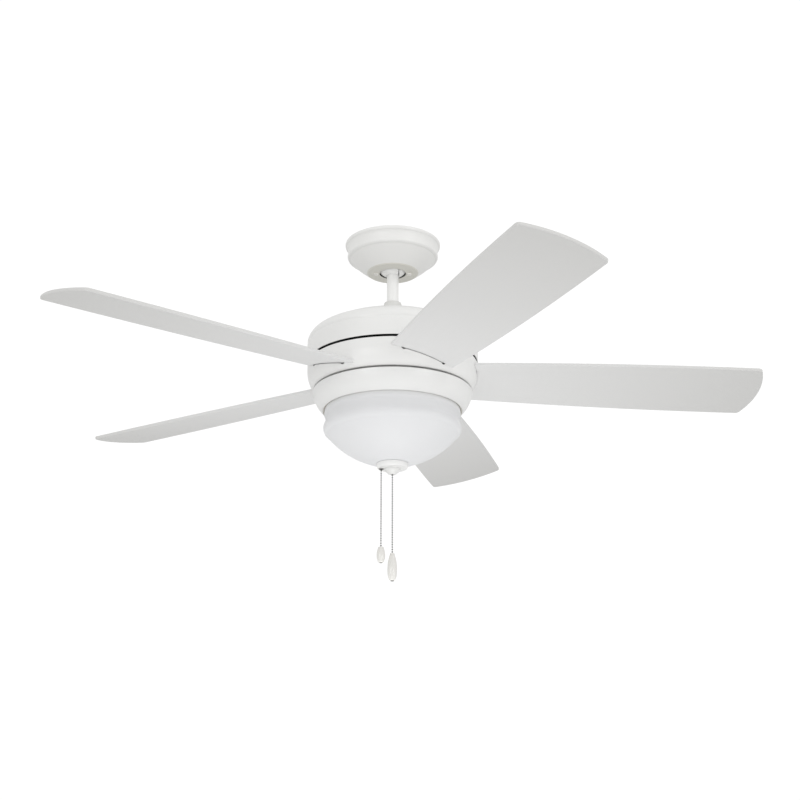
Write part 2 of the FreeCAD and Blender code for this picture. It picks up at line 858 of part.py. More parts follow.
def make_stator():
    """Laminated stator core with its slots, and the two rings of copper end windings."""
    core = document.addObject("PartDesign::Body", "core")
    disc_sketch = core.newObject("Sketcher::SketchObject", "core_disc")
    disc_sketch.AttachmentSupport = (origin_plane(core, "XY_Plane"), "")
    disc_sketch.MapMode = "FlatFace"
    for radius in ("stator_radius", "shaft_radius"):
        circle = Part.Circle(FreeCAD.Vector(), UP, value(radius))
        edge = disc_sketch.addGeometry(circle)
        disc_sketch.addConstraint(Sketcher.Constraint("Coincident", edge, 3, -1, 1))
        size = disc_sketch.addConstraint(Sketcher.Constraint("Radius", edge, value(radius)))
        disc_sketch.setExpression(f"Constraints[{size}]", bound(radius))
    disc = core.newObject("PartDesign::Pad", "core_pad")
    disc.Profile = disc_sketch
    bind(disc, Length="stator_height")
    slot_end = "stator_radius + overcut"
    slot_start = "stator_radius - stator_slot_length"
    slot_sketch = body_sketch(core, "XY_Plane", [
        (slot_start, "-stator_slot_width / 2"),
        (slot_end, "-stator_slot_width / 2"),
        (slot_end, "stator_slot_width / 2"),
        (slot_start, "stator_slot_width / 2"),
    ])
    slot = core.newObject("PartDesign::Pocket", "core_slot")
    slot.Profile = slot_sketch
    slot.Type = "ThroughAll"
    slot.Reversed = True
    pattern = core.newObject("PartDesign::PolarPattern", "core_slots")
    pattern.Originals = [slot]
    pattern.Axis = (slot_sketch, ["N_Axis"])
    pattern.Angle = 360
    pattern.Occurrences = int(value("stator_slots"))
    core.Tip = pattern
    keep(core, "stator_core", "datum_level + stator_bottom")
    rings = []
    for level in ("stator_bottom - winding_radius", "stator_bottom + stator_height + winding_radius"):
        ring = document.addObject("Part::Torus", "winding")
        bind(ring, Radius1="winding_circle", Radius2="winding_radius")
        place(ring, z=level)
        rings.append(ring)
    keep(together("winding_pair", rings), "stator_windings", "datum_level")


def case_screw_places():
    """Return where the screws that close the motor case stand."""
    return around(int(value("case_screw_count")), "case_screw_circle")


def case_half(name, face, split, up, threads):
    """Return one half of the motor case: face is its outer cover, up is 1 or -1."""
    def height(base, offset):
        return f"{base} + {up} * ({offset})"

    corners = [
        ("case_hole", height(face, "case_hub_rise")),
        ("case_hub", height(face, "case_hub_rise")),
        ("case_hub + case_hub_slope", face),
        ("case_radius - case_chamfer", face),
        ("case_radius", height(face, "-case_chamfer")),
        ("case_radius", split),
        ("case_inside", split),
        ("case_inside", height(face, "-case_cover - case_corner")),
        ("case_inside - case_corner", height(face, "-case_cover")),
        ("bearing_radius + seat_foot", height(face, "-case_cover")),
        ("bearing_radius + seat_lip", height(face, "-case_hub_depth")),
        ("bearing_radius", height(face, "-case_hub_depth")),
        ("bearing_radius", face),
        ("case_hole", face),
    ]
    half = turned(name, corners)
    holes = [cylinder("case_screw_hole", "case_screw_radius", "case_bottom + case_chamfer",
                      "case_top + overcut", x, y) for x, y in case_screw_places()]
    return cut(f"{name}_drilled", half, holes + threads)


def make_motor_case():
    """Two cast halves that clamp the rotor ring and carry the blades."""
    threads = [cylinder("case_thread", "thread_radius", "case_bottom - overcut",
                        "case_bottom + case_cover + overcut", x, y)
               for x, y in iron_screw_places()]
    keep(case_half("case_upper", "case_top", "case_split", 1, []), "motor_case_upper",
         "datum_level")
    keep(case_half("case_lower", "case_bottom", "case_split", -1, threads), "motor_case_lower",
         "datum_level")
    screws = [screw("case_screw", "case_screw_head", "case_screw_radius", "case_top",
                    "case_bottom + case_chamfer", x, y) for x, y in case_screw_places()]
    keep(together("case_screw_set", screws), "case_screws", "datum_level")
    ring = turned("cage", [
        ("stator_radius + rotor_gap", "stator_bottom"),
        ("case_inside", "stator_bottom"),
        ("case_inside", "stator_bottom + stator_height"),
        ("stator_radius + rotor_gap", "stator_bottom + stator_height"),
    ])
    keep(ring, "rotor_ring", "datum_level")


def race(name, inner, outer, bottom):
    """Return one race of a bearing as a plain ring."""
    top = f"{bottom} + bearing_height"
    return turned(name, [(inner, bottom), (outer, bottom), (outer, top), (inner, top)])


def make_bearings():
    """Two ball bearings between the fixed shaft and the case."""
    levels = ("case_bottom", "case_top - bearing_height")
    inner = [race("inner_race", "shaft_radius", "shaft_radius + race_wall", level)
             for level in levels]
    outer = [race("outer_race", "bearing_radius - race_wall", "bearing_radius", level)
             for level in levels]
    keep(together("inner_races", inner), "bearing_inner_races", "datum_level")
    keep(together("outer_races", outer), "bearing_outer_races", "datum_level")
    balls = []
    for level in levels:
        for x, y in around(int(value("bearing_balls")), "(shaft_radius + bearing_radius) / 2"):
            ball = document.addObject("Part::Sphere", "bearing_ball_blank")
            bind(ball, Radius="bearing_ball")
            place(ball, x, y, f"{level} + bearing_height / 2")
            balls.append(ball)
    keep(together("ball_set", balls), "bearing_balls", "datum_level")


# ---------------------------------------------------------------- rotor band, irons and blades

def blade_angles():
    """Return the azimuth of each blade in degrees."""
    count = int(value("blade_count"))
    return [value("first_blade_angle") + 360 / count * index for index in range(count)]


def turned_to(angle, lowered=0.0):
    """Return the placement that turns a piece about the fan's axis."""
    return FreeCAD.Placement(FreeCAD.Vector(0, 0, lowered), FreeCAD.Rotation(UP, angle))


def pitched():
    """Return the placement that lifts a blade and tilts it about its own length."""
    tilt = FreeCAD.Rotation(ALONG_X, -value("blade_pitch"))
    return FreeCAD.Placement(FreeCAD.Vector(0, 0, value("blade_rise")), tilt)


def blade_frame():
    """Return where a piece drawn flat from droop_start lies: drooped, then pitched."""
    root = FreeCAD.Vector(value("droop_start"), 0, 0)
    droop = FreeCAD.Rotation(FreeCAD.Vector(0, 1, 0), value("blade_droop"))
    return pitched().multiply(FreeCAD.Placement(root, droop))


def slot_tool(angle):
    """Return the cutter for one blade's slot, with a round relief at each end."""
    slot_half = "tongue_half + slot_clearance"
    start, end = "iron_pad_end - slot_depth", "band_radius + slot_reach"
    pieces = [block("blade_slot", (start, end), centred(slot_half),
                    centred("blade_thickness / 2 + slot_clearance"))]
    for side in ("-", ""):
        relief = document.addObject("Part::Cylinder", "slot_relief")
        relief.Placement.Rotation = FreeCAD.Rotation(UP, ALONG_X)
        bind(relief, Radius="slot_end_radius", Height=f"{end} - ({start})")
        place(relief, start, f"{side}({slot_half})")
        pieces.append(relief)
    tool = together("blade_slot_turned", pieces)
    tool.Placement = turned_to(angle).multiply(pitched())
    return tool


def make_rotor_band():
    """Spun band that turns with the blades: lip, straight side, curved foot and floor."""
    shell = spun_sheet("band", [
        ("band_lip", "band_top"),
        ("band_radius - band_corner", "band_top", "band_corner_curve", OUTWARD),
        ("band_radius", "band_top - band_corner"),
        ("band_radius", "band_straight_bottom", "band_curve", OUTWARD),
        ("band_foot_radius", "band_foot_level", "band_foot_curve", OUTWARD),
        ("band_floor_radius", "band_bottom"),
        ("band_floor_hole", "band_bottom"),
    ], "band_wall")
    tools = [slot_tool(angle) for angle in blade_angles()]
    tools += [cylinder("band_screw_hole", "thread_radius", "band_bottom - overcut",
                       "band_bottom + 2 * band_wall", x, y) for x, y in post_places()]
    keep(cut("band_slotted", shell, tools), "rotor_band", "datum_level")


def post_places():
    """Return where the posts between the case and the band's floor stand."""
    half_step = f"first_blade_angle + {180 / value('blade_count')}"
    return around(int(value("blade_count")), "post_circle", half_step)


def make_band_posts():
    """Tapped posts that hold the band's floor below the motor case, and their screws."""
    posts = []
    screws = []
    floor = "band_bottom + band_wall"
    for x, y in post_places():
        post = cylinder("post", "post_radius", floor, "case_bottom", x, y)
        tap = cylinder("post_tap", "thread_radius", f"{floor} - overcut",
                       "band_bottom + band_screw_length", x, y)
        posts.append(cut("post_tapped", post, [tap]))
        screws.append(screw("band_screw", "band_screw_head", "thread_radius", "band_bottom",
                            "band_bottom + band_screw_length", x, y))
    keep(together("post_set", posts), "band_posts", "datum_level")
    keep(together("band_screw_set", screws), "band_screws", "datum_level")


def along_blade(radius):
    """Return a distance from the axis as a distance from the start of the droop."""
    return f"{radius} - droop_start"


def screw_spots():
    """Return the three screw places of one blade, as x and y in its own frame."""
    near = along_blade("blade_screw_near")
    return [(near, "blade_screw_side"), (near, "-blade_screw_side"),
            (along_blade("blade_screw_far"), "0")]


def iron_screw_places():
    """Return where the screws that hold the irons under the motor case stand."""
    return [spot for circle in ("iron_screw_inner", "iron_screw_outer")
            for spot in around(int(value("blade_count")), circle, "first_blade_angle")]


def blade_iron(angle):
    """Return one cranked steel arm from the motor case to the top of a blade root."""
    base = block("iron_base", ("iron_inner", "iron_riser"), centred("iron_half"),
                 ("case_bottom - iron_thickness", "case_bottom"))
    riser = block("iron_riser_plate", ("iron_riser - iron_thickness", "iron_riser"),
                  centred("iron_half"), ("iron_riser_bottom", "case_bottom"))
    pad = block("iron_pad", (along_blade("iron_riser - iron_thickness"),
                             along_blade("iron_pad_end")), centred("iron_pad_half"),
                ("blade_thickness / 2", "blade_thickness / 2 + iron_pad_thickness"))
    pad_holes = [cylinder("pad_hole", "thread_radius", "0", "3 * blade_thickness", x, y)
                 for x, y in screw_spots()]
    tilted_pad = cut("iron_pad_drilled", pad, pad_holes)
    tilted_pad.Placement = blade_frame()
    base_holes = [cylinder("base_hole", "thread_radius", "case_bottom - 2 * iron_thickness",
                           "case_bottom + overcut", x)
                  for x in ("iron_screw_inner", "iron_screw_outer")]
    drilled_base = cut("iron_base_drilled", base, base_holes)
    iron = fused("iron", [drilled_base, riser, tilted_pad])
    iron.Placement = turned_to(angle)
    return iron


def make_blade_irons():
    """Five blade irons, and the screws that hold them under the motor case."""
    irons = [blade_iron(angle) for angle in blade_angles()]
    keep(together("iron_set", irons), "blade_irons", "datum_level")
    screws = [screw("iron_screw", "screw_head", "thread_radius", "case_bottom - iron_thickness",
                    "case_bottom + case_cover", x, y) for x, y in iron_screw_places()]
    keep(together("iron_screw_set", screws), "iron_screws", "datum_level")


def blade_body(name):
    """Return one flat blade, its length along X from the start of its droop."""
    body = document.addObject("PartDesign::Body", name)
    root = along_blade("blade_root")
    sketch = body_sketch(body, "XY_Plane", [
        (root, "-blade_root_half", "blade_side_curve", INWARD),
        (along_blade("blade_tip_raised"), "-blade_tip_half", "blade_tip_curve", INWARD),
        (along_blade("blade_tip_lowered"), "blade_tip_half", "blade_side_curve", INWARD),
        (root, "blade_root_half"),
    ])
    pad = body.newObject("PartDesign::Pad", f"{name}_board")
    pad.Profile = sketch
    bind(pad, Length="blade_thickness")
    tip = value(along_blade("blade_tip_lowered"))
    corners = trimmed(body, pad, "Fillet", "blade_corner_radius", lambda box: (
        box.ZLength > 1 and box.XMin > tip - 1))
    body.Tip = trimmed(body, corners, "Chamfer", "blade_edge_bevel",
                       lambda box: box.ZLength < 1e-3)
    return body


def trimmed(body, base, kind, size, chosen):
    """Add a fillet or chamfer on the edges of a feature whose bounding boxes are chosen."""
    document.recompute()
    names = [f"Edge{number}" for number, edge in enumerate(base.Shape.Edges, 1)
             if chosen(edge.BoundBox)]
    trim = body.newObject(f"PartDesign::{kind}", f"{body.Name}_{kind.lower()}")
    trim.Base = (base, names)
    bind(trim, **{"Radius" if kind == "Fillet" else "Size": size})
    return trim


def shoulder_tool(angle):
    """Return the cutter that leaves a tongue, and shoulders that follow the band's side."""
    gap = "shoulder_gap"
    round_side = turned("band_side", [
        ("0", "band_foot_level"),
        (f"band_foot_radius + {gap}", "band_foot_level", f"band_curve + {gap}", INWARD),
        (f"band_radius + {gap}", "band_straight_bottom"),
        (f"band_radius + {gap}", "band_top"),
        ("0", "band_top"),
    ])
    tongue = block("tongue", ("0", "band_radius + slot_reach"), centred("tongue_half"),
                   centred("blade_root_half"))
    turned_tongue = together("tongue_turned", [tongue])
    turned_tongue.Placement = turned_to(angle).multiply(pitched())
    return cut("shoulder_cutter", round_side, [turned_tongue])


def make_blades():
    """Five boards, pitched and slightly drooped, and the screws up into their irons."""
    screw_sets = []
    half = -value("blade_thickness") / 2
    for number, angle in enumerate(blade_angles(), 1):
        blank = blade_body(f"board_{number}")
        holes = [cylinder("blade_hole", "thread_radius", "-overcut", "blade_thickness + overcut",
                          x, y) for x, y in screw_spots()]
        drilled = cut(f"board_{number}_drilled", blank, holes)
        lifted = FreeCAD.Placement(FreeCAD.Vector(0, 0, half), FreeCAD.Rotation())
        drilled.Placement = turned_to(angle).multiply(blade_frame()).multiply(lifted)
        keep(cut(f"board_{number}_shouldered", drilled, [shoulder_tool(angle)]),
             f"blade_{number}", "datum_level")
        screws = [screw("blade_screw", "screw_head", "thread_radius", "-blade_thickness / 2",
                        "blade_thickness / 2 + iron_pad_thickness", x, y)
                  for x, y in screw_spots()]
        trio = together("blade_screw_trio", screws)
        trio.Placement = turned_to(angle).multiply(blade_frame())
        screw_sets.append(trio)
    keep(together("blade_screw_sets", screw_sets), "blade_screws", "datum_level")


# ---------------------------------------------------------------- light housing

def make_light_housing():
    """Spun lower housing, fixed to the shaft: plate, rim, curved side and rolled edge."""
    shell = spun_sheet("pan", [
        ("shaft_radius", "pan_plate"),
        ("pan_plate_radius", "pan_plate"),
        ("pan_rim_inner", "pan_rim_level"),
        ("pan_rim_outer", "pan_rim_level", "pan_rim_curve", OUTWARD),
        ("pan_radius", "pan_shoulder", "pan_curve", OUTWARD),
        ("pan_lip_radius", "pan_lip_level", "pan_lip_curve", OUTWARD),
        ("pan_edge_radius", "pan_edge_level"),
    ], "sheet_wall")
    keep(shell, "light_housing", "datum_level")


def make_shaft_nuts():
    """Nuts above and below the housing's plate, on the end of the shaft."""
    nuts = []
    for bottom, top in (("pan_plate", "pan_plate + nut_height"),
                        ("pan_plate - sheet_wall - nut_height", "pan_plate - sheet_wall")):
        blank = hexagon("shaft_nut", "nut_across", bottom, top)
        bore = cylinder("shaft_nut_bore", "shaft_radius", f"{bottom} - overcut", f"{top} + overcut")
        nuts.append(cut("shaft_nut_tapped", blank, [bore]))
    keep(together("shaft_nut_pair", nuts), "shaft_nuts", "datum_level")


def make_switch_cup():
    """Deep cup under the plate that holds the two pull switches."""
    shell = spun_sheet("cup", [
        ("cup_radius", "pan_plate - sheet_wall"),
        ("cup_radius", "cup_bottom + cup_corner", "cup_corner", OUTWARD),
        ("cup_radius - cup_corner", "cup_bottom"),
        ("rod_radius", "cup_bottom"),
    ], "sheet_wall")
    outlet = cylinder("cup_outlet", "spout_radius", "cup_bottom - overcut",
                      "cup_bottom + 2 * sheet_wall", "fan_chain_offset")
    keep(cut("cup_pierced", shell, [outlet]), "switch_cup", "datum_level")


def make_lamp_plate():
    """White plate that carries the lampholders and closes the housing above the glass."""
    blank = turned("lamp_disc", [
        ("plate_hole", "plate_level - sheet_wall"),
        ("plate_radius", "plate_level - sheet_wall"),
        ("plate_radius", "plate_level"),
        ("plate_hole", "plate_level"),
    ])
    keep(blank, "lamp_plate", "datum_level")
    standoffs = [cylinder("standoff", "standoff_radius", "plate_level", "pan_plate - sheet_wall",
                          x, y) for x, y in around(3, "standoff_circle", "first_lamp_angle + 60")]
    keep(together("standoff_set", standoffs), "plate_standoffs", "datum_level")


def make_capacitor():
    """Run capacitor on top of the lamp plate."""
    case = block("capacitor_case",
                 ("capacitor_circle - capacitor_length / 2",
                  "capacitor_circle + capacitor_length / 2"),
                 centred("capacitor_width / 2"),
                 ("plate_level", "plate_level + capacitor_height"))
    turned_case = together("capacitor_turned", [case])
    angle = value("capacitor_angle")
    turned_case.Placement = turned_to(angle)
    keep(turned_case, "capacitor", "datum_level")


def pull_switch(name, x, spout_bottom):
    """Return the hollow case of a pull switch with its spout."""
    half_width = "switch_width / 2"
    half_depth = "switch_depth / 2"
    inner_width = f"{half_width} - switch_wall"
    case = block(f"{name}_case", (f"{x} - {half_width}", f"{x} + {half_width}"),
                 centred(half_depth), ("switch_bottom", "switch_top"))
    spout = cylinder(f"{name}_spout", "spout_radius", spout_bottom, "switch_bottom + overcut", x)
    room = block(f"{name}_room", (f"{x} - ({inner_width})", f"{x} + ({inner_width})"),
                 centred(f"{half_depth} - switch_wall"),
                 ("switch_bottom + switch_wall", "switch_top - switch_wall"))
    bore = cylinder(f"{name}_bore", "spout_bore", f"{spout_bottom} - overcut",
                    "switch_bottom + 2 * switch_wall", x)
    return cut(f"{name}_hollow", fused(f"{name}_solid", [case, spout]), [room, bore])


def switch_arm(name, x):
    """Return the plunger of a pull switch, which the chain hangs from."""
    head_bottom = "arm_top - arm_head_height"
    stem = cylinder(f"{name}_stem", "arm_radius", "arm_bottom", head_bottom, x)
    head = cylinder(f"{name}_head", "arm_head", head_bottom, "arm_top", x)
    return fused(name, [stem, head])


def make_pull_switches():
    """Fan speed switch beside the axis and light switch on it, each with its arm."""
    keep(pull_switch("fan_switch", "fan_chain_offset", "fan_spout_bottom"), "fan_switch_body",
         "datum_level")
    keep(pull_switch("light_switch", "0", "light_spout_bottom"), "light_switch_body",
         "datum_level")
    keep(switch_arm("fan_arm", "fan_chain_offset"), "fan_switch_arm", "datum_level")
    keep(switch_arm("light_arm", "0"), "light_switch_arm", "datum_level")


def make_lamps():
    """Three lampholders under the plate, each with its bulb's cap and globe."""
    holders = []
    caps = []
    globes = []
    places = around(int(value("lamp_count")), "lamp_circle", "first_lamp_angle")
    for number, (x, y) in enumerate(places, 1):
        holder = turned(f"holder_{number}", [
            ("0", "cap_top"),
            ("cap_radius", "cap_top"),
            ("cap_radius", "socket_bottom"),
            ("socket_radius", "socket_bottom"),
            ("socket_radius", "plate_level - sheet_wall"),
            ("0", "plate_level - sheet_wall"),
        ])
        cap = cylinder("bulb_cap", "cap_radius", "cap_bottom", "cap_top")
        globe = turned(f"globe_{number}", [
            ("0", "cap_bottom"),
            ("bulb_neck", "cap_bottom"),
            ("bulb_radius", "bulb_waist", "bulb_radius", OUTWARD),
            ("0", "bulb_bottom"),
        ])
        for item, group in ((holder, holders), (cap, caps), (globe, globes)):
            place(item, x, y)
            group.append(item)
        place(cap, z="cap_bottom")
    keep(together("holder_set", holders), "lamp_sockets", "datum_level")
    keep(together("cap_set", caps), "bulb_caps", "datum_level")
    keep(together("globe_set", globes), "bulb_globes", "datum_level")


# ---------------------------------------------------------------- glass, finial and chains

def make_glass_bowl():
    """Opal glass bowl with a waisted neck, and the gasket above its rim."""
    rim = "plate_level - sheet_wall - gasket_thickness"
    bowl = spun_sheet("bowl", [
        ("glass_rim_radius", rim),
        ("glass_neck_top_radius", "glass_neck_top", "glass_neck_curve", INWARD),
        ("glass_neck_bottom_radius", "glass_neck_bottom", "glass_bulge_curve", OUTWARD),
        ("glass_bulge_radius", "glass_bulge_level", "glass_bowl_curve", OUTWARD),
        ("glass_hole", "glass_bottom"),
    ], "glass_wall")
    keep(bowl, "glass_bowl", "datum_level")
    gasket = turned("gasket", [
        ("gasket_inner", rim),
        ("glass_rim_radius", rim),
        ("glass_rim_radius", "plate_level - sheet_wall"),
        ("gasket_inner", "plate_level - sheet_wall"),
    ])
    keep(gasket, "bowl_gasket", "datum_level")


def make_centre_rod():
    """Hollow threaded rod that carries the bowl, with a nut each side of the cup."""
    rod = turned("nipple", [
        ("rod_bore", "rod_bottom"),
        ("rod_radius", "rod_bottom"),
        ("rod_radius", "rod_top"),
        ("rod_bore", "rod_top"),
    ])
    keep(rod, "centre_rod", "datum_level")
    nuts = []
    for bottom, top in (("cup_bottom - nut_height", "cup_bottom"),
                        ("cup_bottom + sheet_wall", "rod_nut_top")):
        blank = hexagon("rod_nut", "rod_nut_across", bottom, top)
        bore = cylinder("rod_nut_bore", "rod_radius", f"{bottom} - overcut", f"{top} + overcut")
        nuts.append(cut("rod_nut_tapped", blank, [bore]))
    keep(together("rod_nut_pair", nuts), "rod_nuts", "datum_level")


def make_finial():
    """Shallow plate under the glass, the knob that tightens it and the chain's eyelet."""
    plate = spun_sheet("finial", [
        ("finial_radius", "finial_top"),
        ("finial_radius", "finial_side", "finial_curve", OUTWARD),
        ("finial_floor_radius", "finial_floor"),
        ("rod_radius", "finial_floor"),
    ], "finial_wall")
    hole = cylinder("eyelet_hole", "eyelet_barrel", "finial_floor - overcut",
                    "finial_floor + 2 * finial_wall", "fan_chain_offset")
    keep(cut("finial_pierced", plate, [hole]), "finial_plate", "datum_level")
    knob = turned("knob", [
        ("rod_radius", "finial_floor"),
        ("knob_radius", "finial_floor"),
        ("knob_radius", "knob_rim", "knob_rim_curve", OUTWARD),
        ("knob_waist_radius", "knob_waist", "knob_waist_curve", OUTWARD),
        ("knob_tip_radius", "knob_bottom"),
        ("knob_hole", "knob_bottom"),
        ("knob_hole", "rod_bottom"),
        ("rod_radius", "rod_bottom"),
    ])
    keep(knob, "finial_knob", "datum_level")
    eyelet = turned("eyelet", [
        ("eyelet_bore", "finial_floor - eyelet_flange"),
        ("eyelet_radius", "finial_floor - eyelet_flange"),
        ("eyelet_radius", "finial_floor"),
        ("eyelet_barrel", "finial_floor"),
        ("eyelet_barrel", "finial_floor + 2 * finial_wall"),
        ("eyelet_bore", "finial_floor + 2 * finial_wall"),
    ])
    place(eyelet, x="fan_chain_offset")
    keep(eyelet, "chain_eyelet", "datum_level")


def make_chains():
    """The two pull chains, straight down from their switch arms to their fobs."""
    keep(cylinder("fan_pull", "chain_radius", "fan_fob_top", "arm_bottom", "fan_chain_offset"),
         "fan_chain", "datum_level + fan_fob_top")
    keep(cylinder("light_pull", "chain_radius", "light_fob_top", "arm_bottom"),
         "light_chain", "datum_level + light_fob_top")


def make_fobs():
    """Turned fobs: a short oval one on the fan chain and a long spindle on the light's."""
    cap = "fan_fob_top - fan_fob_cap_height"
    oval = turned("oval", [
        ("0", "fan_fob_top"),
        ("0", "fan_fob_bottom"),
        ("fan_fob_foot", "fan_fob_bottom", "fan_fob_foot_curve", INWARD),
        ("fan_fob_radius", "fan_fob_widest", "fan_fob_curve", INWARD),
        ("fan_fob_cap", cap),
        ("fan_fob_cap", "fan_fob_top"),
    ])
    place(oval, x="fan_chain_offset")
    keep(oval, "fan_fob", "datum_level")
    neck = "light_fob_top - light_fob_cap_height"
    spindle = turned("spindle", [
        ("0", "light_fob_top"),
        ("0", "light_fob_bottom"),
        ("light_fob_foot", "light_fob_bottom", "light_fob_foot_curve", INWARD),
        ("light_fob_radius", "light_fob_widest", "light_fob_neck_curve", INWARD),
        ("light_fob_neck", neck),
        ("light_fob_neck", "light_fob_top"),
    ])
    keep(spindle, "light_fob", "datum_level")


# ---------------------------------------------------------------- check and export

def check_document():
    """Stop if any object failed, or any sub-part is missing or not a valid shape."""
    document.recompute()
    for item in document.Objects:
        if {"Invalid", "Error"} & set(item.State):
            raise RuntimeError(f"{item.Label} failed: {item.State}")
    for item in nodes:
        if item.Shape.isNull() or not item.Shape.isValid() or not item.Shape.Solids:
            raise RuntimeError(f"{item.Label} has no valid solid")


def export_parts():
    """Write each sub-part to its own STEP file."""
    os.makedirs("parts", exist_ok=True)
    for item in nodes:
        item.Shape.exportStep(os.path.join("parts", f"{item.Label}.step"))
        print(f"{item.Label:24s} solids {len(item.Shape.Solids):3d} "
              f"volume {item.Shape.Volume / 1000:9.2f} cm3")


for make in (make_hanger_bracket, make_canopy, make_canopy_screws, make_hanger_ball,
             make_ball_pin, make_downrod, make_supply_cable, make_coupling_pin,
             make_motor_coupling, make_coupling_cover, make_housing_dome, make_dome_screws,
             make_reverse_switch, make_motor_shaft, make_stator, make_motor_case,
             make_bearings, make_rotor_band, make_band_posts, make_blade_irons, make_blades,
             make_light_housing, make_shaft_nuts, make_switch_cup, make_lamp_plate,
             make_capacitor, make_pull_switches, make_lamps, make_glass_bowl,
             make_centre_rod, make_finial, make_chains, make_fobs):
    make()
check_document()
export_parts()
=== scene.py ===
"""Looks for the ceiling fan with a bowl light. Metres, +Z up, origin on the axis at the ceiling."""
import math

import bpy
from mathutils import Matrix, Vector


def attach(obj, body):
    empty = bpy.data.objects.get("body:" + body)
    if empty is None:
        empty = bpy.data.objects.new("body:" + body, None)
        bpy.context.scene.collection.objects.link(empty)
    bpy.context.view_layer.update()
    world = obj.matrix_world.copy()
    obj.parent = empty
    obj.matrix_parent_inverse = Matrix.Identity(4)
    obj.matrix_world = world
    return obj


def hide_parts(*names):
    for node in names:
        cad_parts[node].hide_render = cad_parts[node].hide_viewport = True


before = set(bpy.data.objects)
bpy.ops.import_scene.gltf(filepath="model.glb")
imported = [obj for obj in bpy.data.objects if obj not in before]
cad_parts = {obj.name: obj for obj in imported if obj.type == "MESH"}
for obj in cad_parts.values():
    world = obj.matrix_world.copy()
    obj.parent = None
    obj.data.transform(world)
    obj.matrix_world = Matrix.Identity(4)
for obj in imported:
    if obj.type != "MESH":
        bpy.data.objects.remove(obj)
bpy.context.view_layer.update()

BLADE_LEVEL = -0.266
TURN = 2 * math.pi


# ---------------------------------------------------------------- camera

LENS = 66.01
SENSOR_WIDTH = 36.0
FARTHEST_SEEN = 60.0
CAMERA_PLACE = (0.0, -2.4633, -1.1250)
CAMERA_TILT = math.radians(108.5028)
CAMERA_TURN = math.radians(-0.308)


def make_camera():
    """Camera below the fan, a long lens from the viewer's side, looking up at it."""
    camera_data = bpy.data.cameras.new("camera")
    camera_data.lens = LENS
    camera_data.sensor_width = SENSOR_WIDTH
    camera_data.clip_end = FARTHEST_SEEN
    camera = bpy.data.objects.new("camera", camera_data)
    camera.location = CAMERA_PLACE
    camera.rotation_euler = (CAMERA_TILT, 0.0, CAMERA_TURN)
    bpy.context.scene.collection.objects.link(camera)
    bpy.context.scene.camera = camera


make_camera()


# ---------------------------------------------------------------- mesh helpers

def mesh_object(name, vertices, faces, smooth=True):
    """Return a new mesh object."""
    mesh = bpy.data.meshes.new(name)
    mesh.from_pydata(vertices, [], faces)
    mesh.validate()
    mesh.update()
    if smooth:
        mesh.shade_smooth()
    piece = bpy.data.objects.new(name, mesh)
    bpy.context.scene.collection.objects.link(piece)
    return piece


def lathe(name, outline, centre, segments):
    """Turn an outline of (radius, height) about an upright line through centre."""
    vertices = []
    rings = []
    for radius, height in outline:
        if radius == 0.0:
            rings.append([len(vertices)])
            vertices.append((centre[0], centre[1], centre[2] + height))
            continue
        ring = []
        for step in range(segments):
            turn = TURN * step / segments
            ring.append(len(vertices))
            vertices.append((centre[0] + radius * math.cos(turn),
                             centre[1] + radius * math.sin(turn), centre[2] + height))
        rings.append(ring)
    faces = []
    for lower, upper in zip(rings, rings[1:]):
        for step in range(segments):
            following = (step + 1) % segments
            if len(lower) == 1 and len(upper) == 1:
                continue
            if len(lower) == 1:
                faces.append((lower[0], upper[following], upper[step]))
            elif len(upper) == 1:
                faces.append((lower[step], lower[following], upper[0]))
            else:
                faces.append((lower[step], lower[following], upper[following], upper[step]))
    return mesh_object(name, vertices, faces)


# ---------------------------------------------------------------- pull chains

BEAD_PITCH = 0.00425
BEAD_RADIUS = 0.0016
BEAD_SQUASH = 0.62
BEAD_ROWS = 8
BEAD_SEGMENTS = 12
LINK_RADIUS = 0.0002
ARM_END = BLADE_LEVEL - 0.060
FAN_CHAIN_X = -0.0195
FAN_FOB_TOP = BLADE_LEVEL - 0.300
LIGHT_FOB_TOP = BLADE_LEVEL - 0.311
ROUTE_STEPS = 32
FOB_SEGMENTS = 56
OUTLINE_STEPS = 5
MILLIMETRE = 0.001


def route_points(name, points):
    """Return points along the smooth curve that follows a cord's route."""
    curve = bpy.data.curves.new(name, "CURVE")
    curve.dimensions = "3D"
    curve.resolution_u = ROUTE_STEPS
    spline = curve.splines.new("NURBS")
    spline.points.add(len(points) - 1)
    for control, point in zip(spline.points, points):
        control.co = (*point, 1.0)
    spline.order_u = 3
    spline.use_endpoint_u = True
    holder = bpy.data.objects.new(name, curve)
    bpy.context.scene.collection.objects.link(holder)
    line = bpy.data.meshes.new_from_object(holder)
    path = [vertex.co.copy() for vertex in line.vertices]
    bpy.data.objects.remove(holder)
    bpy.data.meshes.remove(line)
    return path


def along(path, distance):
    """Return the point at a distance along a path of points."""
    for start, end in zip(path, path[1:]):
        run = (end - start).length
        if distance <= run:
            return start.lerp(end, distance / run)
        distance -= run
    return path[-1].copy()


